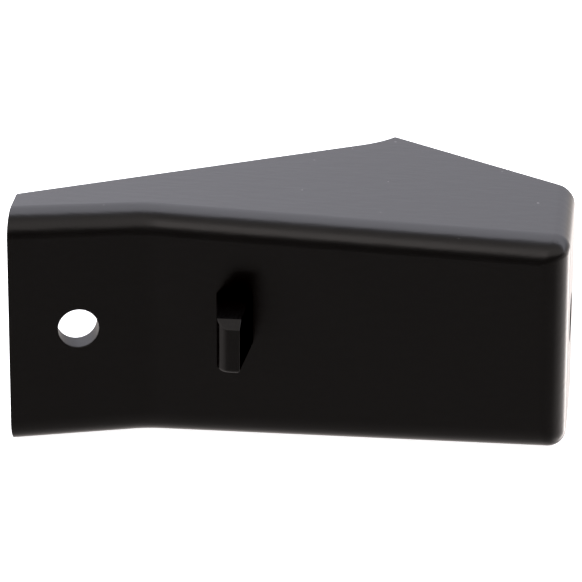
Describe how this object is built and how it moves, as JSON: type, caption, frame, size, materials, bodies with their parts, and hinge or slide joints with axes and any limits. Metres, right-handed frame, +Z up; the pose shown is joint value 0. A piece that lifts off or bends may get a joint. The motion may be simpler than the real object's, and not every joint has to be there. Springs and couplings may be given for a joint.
{
  "type": "cleat horn",
  "caption": "Open-backed moulded plastic cleat horn with an angled bolting flange, a bored end wall, a tapered locating lug and a captive lock nut.",
  "frame": {"origin": "centre of the end hole on the outer face of the end wall", "axes": "+X out of the end wall along the end hole, +Y towards the open back, +Z up; Z = 0 is the mid-height plane"},
  "size_m": [0.1143, 0.0607, 0.0518],
  "materials": {
    "black_plastic": "satin moulded, very fine grain",
    "stainless": "machined",
    "nylon": "satin"
  },
  "bodies": {
    "root": {"horn_shell": "black_plastic", "load_washer": "stainless", "lock_nut": "stainless", "nut_locking_ring": "nylon"}
  },
  "joints": []
}
